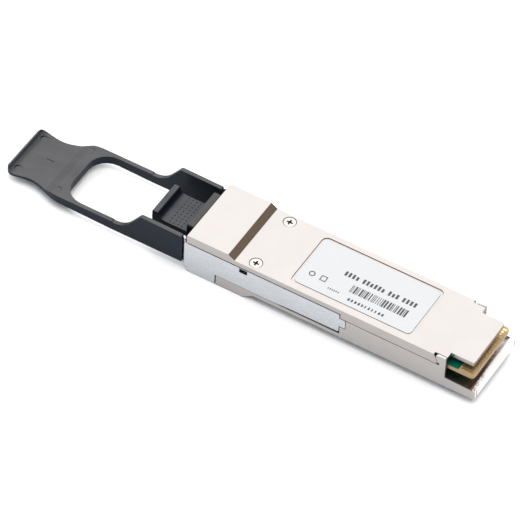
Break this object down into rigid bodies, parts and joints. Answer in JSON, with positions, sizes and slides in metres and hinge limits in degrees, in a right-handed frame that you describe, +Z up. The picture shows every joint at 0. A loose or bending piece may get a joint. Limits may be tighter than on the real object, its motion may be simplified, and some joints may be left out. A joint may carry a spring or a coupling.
{
  "type": "optical transceiver module",
  "caption": "Pluggable fibre-optic transceiver: metal module with a card edge at one end and a multi-fibre port with dust plug and black pull-tab latch at the other.",
  "frame": {"origin": "centre of the bounding box's floor, on the part's centre plane", "axes": "+X from the pull tab towards the host connector, +Y to the far side, +Z up through the lid"},
  "size_m": [0.1208, 0.0184, 0.0113],
  "materials": {
    "housing_nickel": "satin nickel plate over die-cast zinc",
    "cover_nickel": "satin nickel plate over die-cast zinc",
    "latch_steel": "smooth rolled stainless sheet",
    "screw_nickel": "nickel-plated steel",
    "spring_steel": "drawn wire",
    "pin_steel": "ground steel",
    "tab_plastic": "fine-textured moulded black",
    "port_plastic": "moulded black",
    "plug_plastic": "matt moulded black",
    "ferrule_resin": "filled resin",
    "ribbon_coating": "coated fibre ribbon",
    "lens_resin": "clear amber moulded resin",
    "board_laminate": "green solder mask with gold-plated contacts",
    "chip_package": "moulded epoxy",
    "die_silicon": "bare die",
    "crystal_can": "plated lid",
    "inductor_ferrite": "pressed ferrite",
    "pad_silicone": "soft gap pad",
    "gasket_rubber": "conductive silicone cord",
    "label_film": "satin coated label"
  },
  "bodies": {
    "module": {"lower_housing": "housing_nickel", "upper_cover": "cover_nickel", "cover_screw_near": "screw_nickel", "cover_screw_far": "screw_nickel", "label": "label_film", "return_spring_near": "spring_steel", "return_spring_far": "spring_steel", "mpo_receptacle": "port_plastic", "guide_pin_near": "pin_steel", "guide_pin_far": "pin_steel", "pin_clamp": "pin_steel", "mt_ferrule": "ferrule_resin", "fibre_ribbon": "ribbon_coating", "lens_block": "lens_resin", "circuit_board": "board_laminate", "laser_array": "die_silicon", "photodiode_array": "die_silicon", "laser_driver_chip": "die_silicon", "receiver_chip": "die_silicon", "transmit_retimer": "chip_package", "receive_retimer": "chip_package", "microcontroller": "chip_package", "memory_chip": "chip_package", "thermal_pad_near": "pad_silicone", "thermal_pad_far": "pad_silicone", "crystal": "crystal_can", "power_inductor": "inductor_ferrite", "seam_gasket_near": "gasket_rubber", "seam_gasket_far": "gasket_rubber"},
    "latch": {"latch_bracket": "latch_steel", "pull_tab": "tab_plastic"},
    "plug": {"dust_plug": "plug_plastic"}
  },
  "joints": [
    {"name": "latch_slide", "type": "slide", "parent": "module", "child": "latch", "axis": [-1, 0, 0], "range_m": [0, 0.0025], "stiffness_N_per_m": 1200, "springref_m": -0.001, "deforming": ["return_spring_near", "return_spring_far"]},
    {"name": "plug_slide", "type": "slide", "parent": "module", "child": "plug", "axis": [-1, 0, 0], "range_m": [0, 0.02]}
  ]
}
